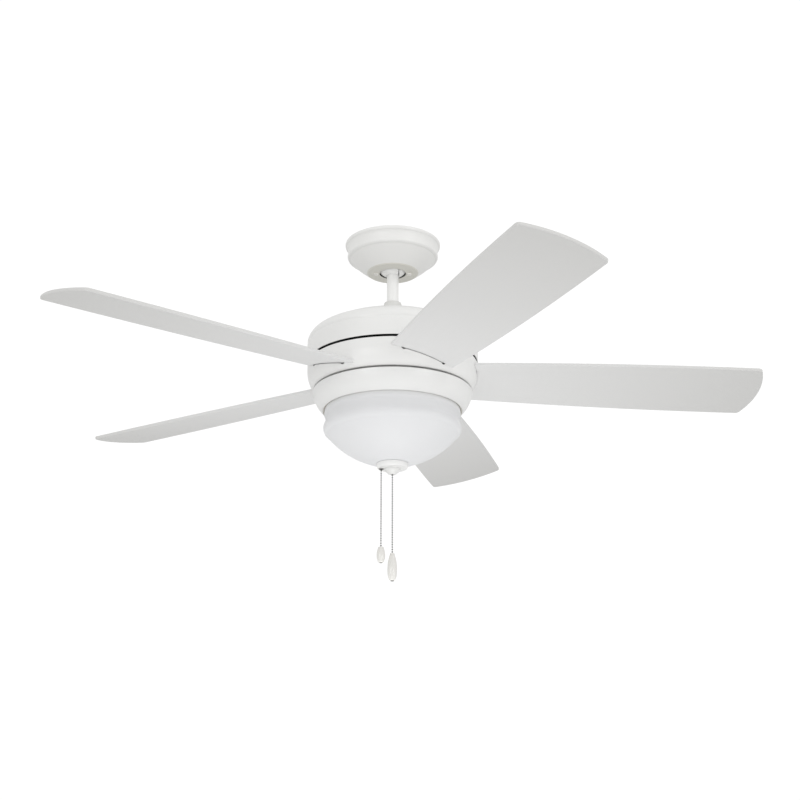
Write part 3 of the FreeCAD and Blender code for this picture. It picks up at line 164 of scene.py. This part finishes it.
def bead_chain(name, path):
    """Return a chain of flattened beads joined by thin wire links, hanging along a path."""
    length = sum((end - start).length for start, end in zip(path, path[1:]))
    count = int(length / BEAD_PITCH)
    spacing = length / count
    bead_half = BEAD_SQUASH * BEAD_RADIUS
    outline = [(LINK_RADIUS, 0.0)]
    half_neck = math.asin(LINK_RADIUS / BEAD_RADIUS)
    for number in range(count):
        middle = spacing * (number + 0.5)
        for row in range(BEAD_ROWS + 1):
            angle = half_neck + (math.pi - 2 * half_neck) * row / BEAD_ROWS
            outline.append((BEAD_RADIUS * math.sin(angle), middle - bead_half * math.cos(angle)))
    outline.append((LINK_RADIUS, length))
    vertices = []
    for radius, distance in outline:
        point = along(path, distance)
        for step in range(BEAD_SEGMENTS):
            turn = TURN * step / BEAD_SEGMENTS
            vertices.append((point.x + radius * math.cos(turn),
                             point.y + radius * math.sin(turn), point.z))
    faces = []
    for ring in range(len(outline) - 1):
        base = ring * BEAD_SEGMENTS
        above = base + BEAD_SEGMENTS
        for step in range(BEAD_SEGMENTS):
            following = (step + 1) % BEAD_SEGMENTS
            faces.append((base + step, above + step, above + following, base + following))
    return mesh_object(name, vertices, faces)


def hanging_route(x, top, bottom):
    """Return the route of a chain that hangs straight down."""
    middle = (top + bottom) / 2
    return [Vector((x, 0.0, height)) for height in (top, middle, bottom)]


fan_route = route_points("fan_route", hanging_route(FAN_CHAIN_X, ARM_END, FAN_FOB_TOP))
light_route = route_points("light_route", hanging_route(0.0, ARM_END, LIGHT_FOB_TOP))
fan_beads = bead_chain("fan_beads", fan_route)
light_beads = bead_chain("light_beads", light_route)


def flowing(before, start, end, after, share):
    """Return a value on the way from start to end, on a curve led by the values around them."""
    slope = end - before
    bend = 2 * before - 5 * start + 4 * end - after
    twist = 3 * start - before - 3 * end + after
    return (2 * start + slope * share + bend * share ** 2 + twist * share ** 3) / 2


def smooth_outline(corners):
    """Return a flowing outline through a few (radius, height) corners."""
    points = [corners[0], *corners, corners[-1]]
    outline = []
    for around in zip(points, points[1:], points[2:], points[3:]):
        radii, heights = zip(*around)
        for step in range(OUTLINE_STEPS):
            share = step / OUTLINE_STEPS
            outline.append((flowing(*radii, share), flowing(*heights, share)))
    outline.append(corners[-1])
    return outline


def make_fob(name, place, cap, body, foot):
    """Turned fob: a small cap with a sharp edge, a swelling body and a metal foot.

    The outlines are in millimetres, from the fob's top down.
    """
    pieces = []
    for part, outline in (("cap", cap), ("body", smooth_outline(body)), ("foot", foot)):
        points = [(radius * MILLIMETRE, height * MILLIMETRE) for radius, height in outline]
        pieces.append(lathe(f"{name}_{part}", points[::-1], place, FOB_SEGMENTS))
    return pieces


def make_fan_fob():
    """Short egg-shaped fob."""
    return make_fob("fan_fob", (FAN_CHAIN_X, 0.0, FAN_FOB_TOP),
                    [(0.0, 0.0), (3.4, -0.05), (4.3, -0.35), (4.9, -0.9), (5.3, -1.7),
                     (5.3, -2.2), (5.0, -2.45), (4.6, -2.5)],
                    [(4.7, -2.4), (5.1, -2.8), (5.9, -4.6), (6.7, -8.0), (7.2, -12.0),
                     (7.3, -15.5), (7.1, -19.0), (6.5, -22.2), (5.4, -25.2), (4.3, -26.9),
                     (2.6, -27.8)],
                    [(2.9, -27.4), (2.8, -27.8), (2.2, -28.0), (0.0, -28.0)])


def make_light_fob():
    """Long spindle fob, widest below its middle."""
    return make_fob("light_fob", (0.0, 0.0, LIGHT_FOB_TOP),
                    [(0.0, 0.0), (2.9, -0.05), (3.6, -0.4), (3.9, -1.2), (4.2, -2.3),
                     (4.2, -2.8), (3.9, -3.0), (3.5, -3.0)],
                    [(3.6, -2.9), (4.0, -3.3), (5.0, -5.2), (6.1, -9.5), (7.2, -14.5),
                     (7.9, -20.0), (8.25, -26.0), (8.3, -31.0), (8.0, -36.0), (7.3, -40.5),
                     (5.9, -44.8), (4.7, -46.9), (3.0, -48.0)],
                    [(3.3, -47.5), (3.2, -48.1), (2.6, -48.5), (0.0, -48.5)])


fan_cap, fan_egg, fan_foot = make_fan_fob()
light_cap, light_spindle, light_foot = make_light_fob()

for beads, node, body in ((fan_beads, "fan_chain", "fan_pull"),
                          (light_beads, "light_chain", "light_pull")):
    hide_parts(node)
    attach(beads, body)
for pieces, node, body in (((fan_egg, fan_cap, fan_foot), "fan_fob", "fan_pull"),
                           ((light_spindle, light_cap, light_foot), "light_fob", "light_pull")):
    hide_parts(node)
    for piece in pieces:
        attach(piece, body)


# ---------------------------------------------------------------- bowl gasket

GASKET_TOP = BLADE_LEVEL - 0.0482
GASKET_THICKNESS = 0.0020
GASKET_HOLE = 0.1154
GASKET_RIM = 0.1194
SKIRT_BOTTOM = -0.0060
LIP_ROOT = 0.1197
LIP_TIP = 0.1227
LIP_DROP = 0.0017
LIP_THICKNESS = 0.0010
LIP_SETBACK = 0.0003
LIP_ROOT_THICKNESS = 0.0011
RIM_TAPER = 0.0001
GASKET_SEGMENTS = 128


def make_gasket():
    """Ring on the glass's rim, with a skirt and a soft lip that reaches the housing's edge."""
    outline = [
        (GASKET_HOLE, 0.0),
        (GASKET_RIM, 0.0),
        (LIP_ROOT, SKIRT_BOTTOM),
        (LIP_TIP, SKIRT_BOTTOM - LIP_DROP),
        (LIP_TIP - LIP_SETBACK, SKIRT_BOTTOM - LIP_DROP - LIP_THICKNESS),
        (LIP_ROOT, SKIRT_BOTTOM - LIP_ROOT_THICKNESS),
        (GASKET_RIM - RIM_TAPER, -GASKET_THICKNESS),
        (GASKET_HOLE, -GASKET_THICKNESS),
        (GASKET_HOLE, 0.0),
    ]
    return lathe("gasket_ring", outline, (0.0, 0.0, GASKET_TOP), GASKET_SEGMENTS)


gasket_ring = make_gasket()
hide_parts("bowl_gasket")
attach(gasket_ring, "hanging_body")


# ---------------------------------------------------------------- node materials

# Painted shade: near-black colour on the inward faces of the shells, so the gaps between the shells
# read dark.
INSIDE_PAINTED_SHADE = (0.055, 0.055, 0.058)
WHITE = (0.860, 0.860, 0.852)
WHITE_SHADE = (0.845, 0.846, 0.838)
RING_PAINT = (0.740, 0.730, 0.675)
RING_BELOW = -0.05690
RING_ABOVE = -0.05655
FIRST_BLADE_ANGLE = math.radians(3.69)
BLADE_COUNT = 5
BLADE_ROOT = 0.16
BLADE_TIP = 0.68
# Painted shade: the blades' tone at their tips, darker than at their roots.
BLADE_TIP_PAINTED_SHADE = (0.672, 0.670, 0.660)


class Shader:
    """A node material with a Principled surface, and helpers that add nodes to it."""

    def __init__(self, name):
        self.material = bpy.data.materials.new(name)
        self.material.use_nodes = True
        self.tree = self.material.node_tree
        self.surface = self.tree.nodes["Principled BSDF"]

    def node(self, kind, **settings):
        """Add a node with settings such as its operation."""
        item = self.tree.nodes.new(kind)
        for key, setting in settings.items():
            setattr(item, key, setting)
        return item

    def link(self, source, target):
        """Join two sockets."""
        self.tree.links.new(source, target)

    def set(self, **inputs):
        """Set constant values on the surface's own sockets."""
        for key, setting in inputs.items():
            self.surface.inputs[key.replace("_", " ")].default_value = setting

    def place(self, turn=0.0, stretch=(1.0, 1.0, 1.0)):
        """Return the piece's own coordinates, turned about Z and stretched."""
        source = self.node("ShaderNodeTexCoord").outputs["Object"]
        if turn:
            turned = self.node("ShaderNodeMapping", vector_type="POINT")
            turned.inputs["Rotation"].default_value = (0.0, 0.0, turn)
            self.link(source, turned.inputs["Vector"])
            source = turned.outputs["Vector"]
        sized = self.node("ShaderNodeMapping", vector_type="POINT")
        sized.inputs["Scale"].default_value = stretch
        self.link(source, sized.inputs["Vector"])
        return sized.outputs["Vector"]

    def noise(self, scale, place, detail=3.0, roughness=0.55):
        """Return a noise between 0 and 1, with a scale in features per metre."""
        item = self.node("ShaderNodeTexNoise")
        item.inputs["Scale"].default_value = scale
        item.inputs["Detail"].default_value = detail
        item.inputs["Roughness"].default_value = roughness
        self.link(place, item.inputs["Vector"])
        return item.outputs["Fac"]

    def spread(self, source, low, high, start=0.35, end=0.65):
        """Return a value that goes from low to high as source goes from start to end."""
        item = self.node("ShaderNodeMapRange")
        for key, setting in (("From Min", start), ("From Max", end), ("To Min", low),
                             ("To Max", high)):
            item.inputs[key].default_value = setting
        self.link(source, item.inputs["Value"])
        return item.outputs["Result"]

    def mix(self, amount, first, second):
        """Return a colour between two, each a socket or a fixed colour."""
        item = self.node("ShaderNodeMix", data_type="RGBA")
        self.link(amount, item.inputs["Factor"])
        for socket, colour in ((item.inputs["A"], first), (item.inputs["B"], second)):
            if isinstance(colour, tuple):
                socket.default_value = (*colour, 1.0)
            else:
                self.link(colour, socket)
        return item.outputs["Result"]

    def colour(self, source):
        """Join a colour to the surface."""
        self.link(source, self.surface.inputs["Base Color"])

    def roughness(self, source):
        """Join a value to the surface's roughness."""
        self.link(source, self.surface.inputs["Roughness"])

    def bump(self, source, strength, distance):
        """Raise the surface by a value, over a distance in metres."""
        item = self.node("ShaderNodeBump")
        item.inputs["Strength"].default_value = strength
        item.inputs["Distance"].default_value = distance
        self.link(source, item.inputs["Height"])
        self.link(item.outputs["Normal"], self.surface.inputs["Normal"])

    def inward(self):
        """Return 1 where the surface faces its piece's own axis, and 0 elsewhere."""
        geometry = self.node("ShaderNodeNewGeometry")
        own = self.node("ShaderNodeTexCoord")
        turned = self.node("ShaderNodeVectorTransform", vector_type="NORMAL",
                           convert_from="WORLD", convert_to="OBJECT")
        self.link(geometry.outputs["True Normal"], turned.inputs[0])
        flat = self.node("ShaderNodeVectorMath", operation="MULTIPLY")
        flat.inputs[1].default_value = (1.0, 1.0, 0.0)
        self.link(own.outputs["Object"], flat.inputs[0])
        unit = self.node("ShaderNodeVectorMath", operation="NORMALIZE")
        self.link(flat.outputs["Vector"], unit.inputs[0])
        facing = self.node("ShaderNodeVectorMath", operation="DOT_PRODUCT")
        self.link(unit.outputs["Vector"], facing.inputs[0])
        self.link(turned.outputs["Vector"], facing.inputs[1])
        return self.spread(facing.outputs["Value"], 1.0, 0.0, -0.30, -0.20)


DRIFT_SCALE = 7.0
GLOSS_SCALE = 38.0
PEEL_SCALE = 650.0
PEEL_HEIGHT = 0.0002
SHELL_ROUGHNESS = 0.36


def enamel_tone(shader, light, shade):
    """Return an enamel's colour, which drifts faintly between two."""
    drift = shader.noise(DRIFT_SCALE, shader.place(), 2.0)
    return shader.mix(shader.spread(drift, 0.0, 1.0), light, shade)


def enamel_skin(shader, rough):
    """Give an enamel its fine orange peel and soft reflections."""
    place = shader.place()
    gloss = shader.noise(GLOSS_SCALE, place)
    shader.roughness(shader.spread(gloss, rough - 0.03, rough + 0.05))
    shader.bump(shader.noise(PEEL_SCALE, place, 2.0), 0.10, PEEL_HEIGHT)
    shader.set(Specular_IOR_Level=0.45, Coat_Weight=0.10, Coat_Roughness=0.25)


def enamel(name, light, shade, rough=SHELL_ROUGHNESS, inside=None):
    """Satin enamel on metal, with another colour on the inside of a shell where one is given."""
    shader = Shader(name)
    tone = enamel_tone(shader, light, shade)
    if inside:
        tone = shader.mix(shader.inward(), tone, inside)
    shader.colour(tone)
    enamel_skin(shader, rough)
    return shader.material


def canopy_paint(name):
    """The canopy's enamel, darker and yellower on the flat ring around its hole."""
    shader = Shader(name)
    height = shader.node("ShaderNodeSeparateXYZ")
    shader.link(shader.place(), height.inputs["Vector"])
    ring = shader.spread(height.outputs["Z"], 1.0, 0.0, RING_BELOW, RING_ABOVE)
    tone = enamel_tone(shader, (0.870, 0.870, 0.858), (0.856, 0.856, 0.844))
    tone = shader.mix(ring, tone, RING_PAINT)
    # Painted shade on the canopy's inward faces.
    shader.colour(shader.mix(shader.inward(), tone, INSIDE_PAINTED_SHADE))
    enamel_skin(shader, SHELL_ROUGHNESS)
    return shader.material


def moulded(name, light, shade, rough=0.42, grain=0.12):
    """Moulded plastic with a fine grain."""
    shader = Shader(name)
    place = shader.place()
    shader.colour(shader.mix(shader.spread(shader.noise(60.0, place), 0.0, 1.0), light, shade))
    shader.roughness(shader.spread(shader.noise(240.0, place), rough - 0.04, rough + 0.05))
    shader.bump(shader.noise(1400.0, place, 2.0), grain, 0.0001)
    shader.set(Specular_IOR_Level=0.45)
    return shader.material


def plated(name, light, shade, rough=0.30, brushed=(1.0, 1.0, 1.0)):
    """Plated metal with faint marks from handling and forming."""
    shader = Shader(name)
    place = shader.place(stretch=brushed)
    shader.colour(shader.mix(shader.spread(shader.noise(90.0, place), 0.0, 1.0), light, shade))
    shader.roughness(shader.spread(shader.noise(300.0, place), rough - 0.06, rough + 0.10))
    shader.bump(shader.noise(900.0, place), 0.08, 0.0001)
    shader.set(Metallic=1.0)
    return shader.material


def cast(name, light, shade, rough=0.6):
    """Painted casting with a grainy skin."""
    shader = Shader(name)
    place = shader.place()
    shader.colour(shader.mix(shader.spread(shader.noise(120.0, place), 0.0, 1.0), light, shade))
    shader.roughness(shader.spread(shader.noise(200.0, place), rough - 0.08, rough + 0.08))
    shader.bump(shader.noise(700.0, place, 5.0), 0.35, 0.0004)
    return shader.material


def laminate(name, turn):
    """Matt white laminate with painted shade that darkens it towards the tip, and a barely visible
    grain along the blade.
    """
    shader = Shader(name)
    grain_place = shader.place(-turn, (1.2, 26.0, 26.0))
    grain = shader.noise(14.0, grain_place, 5.0, 0.5)
    drift = shader.noise(3.0, shader.place(), 2.0)
    tone = shader.mix(shader.spread(drift, 0.0, 1.0), (0.785, 0.786, 0.784),
                      (0.775, 0.777, 0.775))
    # Painted shade: the tone darkens from the blade's root out to its tip, where less light
    # reaches.
    reach = shader.node("ShaderNodeVectorMath", operation="LENGTH")
    shader.link(shader.place(stretch=(1.0, 1.0, 0.0)), reach.inputs[0])
    tip_shade_share = shader.spread(reach.outputs["Value"], 0.0, 1.0, BLADE_ROOT, BLADE_TIP)
    tone = shader.mix(tip_shade_share, tone, BLADE_TIP_PAINTED_SHADE)
    shader.colour(shader.mix(shader.spread(grain, 0.0, 0.12), tone, (0.725, 0.725, 0.718)))
    shader.roughness(shader.spread(grain, 0.50, 0.56))
    shader.bump(grain, 0.02, 0.0003)
    shader.set(Specular_IOR_Level=0.35)
    return shader.material


def opal():
    """Frosted opal glass: milky body, faint cloudiness and a satin etched skin."""
    shader = Shader("opal_glass")
    place = shader.place()
    cloud = shader.noise(16.0, place, 3.0)
    shader.colour(shader.mix(shader.spread(cloud, 0.0, 1.0), (0.792, 0.798, 0.812),
                             (0.784, 0.790, 0.805)))
    shader.roughness(shader.spread(shader.noise(900.0, place), 0.50, 0.60))
    shader.bump(shader.noise(1800.0, place, 2.0), 0.04, 0.0001)
    shader.set(Subsurface_Weight=0.30, Subsurface_Scale=0.006, Subsurface_Radius=(1.0, 1.0, 1.0),
               Specular_IOR_Level=0.35)
    return shader.material


# The shells get painted shade on their inward faces.
shell_enamel = enamel("shell_enamel", WHITE, WHITE_SHADE, inside=INSIDE_PAINTED_SHADE)
pan_enamel = enamel("pan_enamel", (0.840, 0.842, 0.836), (0.828, 0.830, 0.824),
                    inside=(0.80, 0.78, 0.70))
# Painted shade: a darker, slightly warmer copy of the white enamel for the coupling cover.
bell_painted_shade_enamel = enamel("bell_painted_shade_enamel", (0.730, 0.730, 0.712), (0.718, 0.719, 0.701), 0.33)
# Painted light: a brighter copy of the white enamel for the downrod and the lamp plate.
painted_light_enamel = enamel("painted_light_enamel", (0.920, 0.920, 0.913), (0.908, 0.909, 0.901), 0.33)
finial_enamel = enamel("finial_enamel", (0.800, 0.800, 0.790), (0.788, 0.789, 0.779), 0.33)
canopy_enamel = canopy_paint("canopy_enamel")
ball_plastic = moulded("ball_plastic", (0.93, 0.93, 0.92), (0.91, 0.91, 0.90))
fob_plastic = moulded("fob_plastic", (0.80, 0.79, 0.76), (0.79, 0.78, 0.75), 0.14, 0.02)
dark_plastic = moulded("dark_plastic", (0.030, 0.030, 0.032), (0.020, 0.020, 0.021), 0.5)
rubber = moulded("gasket_rubber", (0.74, 0.72, 0.66), (0.70, 0.68, 0.62), 0.7)
zinc = plated("zinc_steel", (0.45, 0.45, 0.44), (0.36, 0.36, 0.35), 0.38)
ground_steel = plated("ground_steel", (0.58, 0.58, 0.58), (0.50, 0.50, 0.50), 0.22)
nickel_beads = plated("nickel_beads", (0.08, 0.08, 0.075), (0.06, 0.06, 0.055), 0.30)
# Partly painted shade: the metal eyelet is made dark grey to stand in for the shade inside its
# hole.
eyelet_metal_and_shade = plated("eyelet_metal_and_shade", (0.32, 0.32, 0.31), (0.27, 0.27, 0.26), 0.30)
brass = plated("plain_brass", (0.60, 0.44, 0.20), (0.50, 0.35, 0.15), 0.32)
copper = plated("copper_wire", (0.62, 0.26, 0.12), (0.45, 0.17, 0.08), 0.35, (1.0, 1.0, 14.0))
core_steel = plated("core_steel", (0.20, 0.20, 0.21), (0.13, 0.13, 0.14), 0.5, (1.0, 1.0, 20.0))
casting = cast("motor_casting", (0.020, 0.020, 0.021), (0.012, 0.012, 0.013))
opal_glass = opal()
screw_paint = enamel("screw_paint", (0.90, 0.89, 0.86), (0.86, 0.85, 0.82), 0.30)

MATERIALS = {
    shell_enamel: ("housing_dome", "rotor_band", "finial_plate"),
    bell_painted_shade_enamel: ("coupling_cover",),
    pan_enamel: ("light_housing",),
    canopy_enamel: ("canopy",),
    painted_light_enamel: ("downrod", "lamp_plate"),
    finial_enamel: ("finial_knob",),
    eyelet_metal_and_shade: ("chain_eyelet",),
    ball_plastic: ("hanger_ball", "lamp_sockets", "reverse_switch_body"),
    dark_plastic: ("reverse_switch_knob", "fan_switch_body", "light_switch_body", "capacitor",
                   "supply_cable"),
    zinc: ("hanger_bracket", "ball_pin", "coupling_pin", "dome_screws", "case_screws",
           "iron_screws", "shaft_nuts", "rod_nuts", "centre_rod", "blade_irons", "band_posts",
           "switch_cup", "plate_standoffs", "band_screws", "blade_screws"),
    ground_steel: ("bearing_inner_races", "bearing_outer_races", "bearing_balls", "motor_shaft"),
    brass: ("fan_switch_arm", "light_switch_arm", "bulb_caps"),
    copper: ("stator_windings",),
    core_steel: ("stator_core", "rotor_ring"),
    casting: ("motor_case_upper", "motor_case_lower", "motor_coupling"),
    opal_glass: ("glass_bowl", "bulb_globes"),
    screw_paint: ("canopy_screws",),
}


def give(piece, material):
    """Give a piece one material for all its faces."""
    piece.data.materials.clear()
    piece.data.materials.append(material)


for material, names in MATERIALS.items():
    for name in names:
        give(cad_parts[name], material)
for number in range(BLADE_COUNT):
    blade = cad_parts[f"blade_{number + 1}"]
    angle = FIRST_BLADE_ANGLE + TURN * number / BLADE_COUNT
    give(blade, laminate(f"laminate_{number + 1}", angle))
for beads in (fan_beads, light_beads, fan_foot, light_foot):
    give(beads, nickel_beads)
for piece in (fan_egg, fan_cap, light_spindle, light_cap):
    give(piece, fob_plastic)
give(gasket_ring, rubber)


# ---------------------------------------------------------------- floor and light

FLOOR_LEVEL = -2.4
FLOOR_HALF = 9


def make_floor():
    """Plain pale floor, a room's height under the ceiling."""
    corners = ((-1, -1), (1, -1), (1, 1), (-1, 1))
    vertices = [(FLOOR_HALF * x, FLOOR_HALF * y, FLOOR_LEVEL) for x, y in corners]
    floor = mesh_object("floor", vertices, [(0, 1, 2, 3)], smooth=False)
    shader = Shader("floor_pale")
    place = shader.place()
    shader.colour(shader.mix(shader.spread(shader.noise(1.5, place), 0.0, 1.0),
                             (0.80, 0.80, 0.80), (0.78, 0.78, 0.78)))
    shader.set(Roughness=0.8)
    give(floor, shader.material)


def area_light(name, location, target, size, power):
    """Add a square soft light that points at a target."""
    light = bpy.data.lights.new(name, "AREA")
    light.shape = "SQUARE"
    light.size = size
    light.energy = power
    holder = bpy.data.objects.new(name, light)
    holder.location = location
    direction = Vector(target) - Vector(location)
    holder.rotation_euler = direction.to_track_quat("-Z", "Y").to_euler()
    holder.visible_camera = False
    bpy.context.scene.collection.objects.link(holder)


def make_world():
    """Faintly warm white surround, nearly even, which the camera sees as plain white."""
    world = bpy.data.worlds.new("studio")
    bpy.context.scene.world = world
    world.use_nodes = True
    tree = world.node_tree
    background = tree.nodes["Background"]
    direction = tree.nodes.new("ShaderNodeTexCoord")
    split = tree.nodes.new("ShaderNodeSeparateXYZ")
    tree.links.new(direction.outputs["Generated"], split.inputs["Vector"])
    rise = tree.nodes.new("ShaderNodeMapRange")
    for key, setting in (("From Min", -0.5), ("From Max", 0.5), ("To Min", 0.79),
                         ("To Max", 0.78)):
        rise.inputs[key].default_value = setting
    tree.links.new(split.outputs["Z"], rise.inputs["Value"])
    tree.links.new(rise.outputs["Result"], background.inputs["Strength"])
    background.inputs["Color"].default_value = (1.0, 0.998, 0.990, 1.0)
    plain = tree.nodes.new("ShaderNodeBackground")
    plain.inputs["Color"].default_value = (1.0, 1.0, 1.0, 1.0)
    plain.inputs["Strength"].default_value = 1.05
    rays = tree.nodes.new("ShaderNodeLightPath")
    choice = tree.nodes.new("ShaderNodeMixShader")
    tree.links.new(rays.outputs["Is Camera Ray"], choice.inputs["Fac"])
    tree.links.new(background.outputs["Background"], choice.inputs[1])
    tree.links.new(plain.outputs["Background"], choice.inputs[2])
    tree.links.new(choice.outputs["Shader"], tree.nodes["World Output"].inputs["Surface"])


make_floor()
make_world()
area_light("key", (-1.9, -3.0, -0.3), (0.0, 0.0, -0.1), 1.0, 16.5)
area_light("fill", (2.4, -2.6, -0.5), (0.0, 0.0, -0.2), 1.0, 15.0)
area_light("high", (1.3, -1.4, 1.1), (0.0, 0.0, -0.3), 0.8, 3.0)
area_light("under", (0.0, -0.1, -1.4), (0.0, 0.0, -0.3), 0.5, 3.2)
bpy.context.scene.view_settings.view_transform = "Standard"
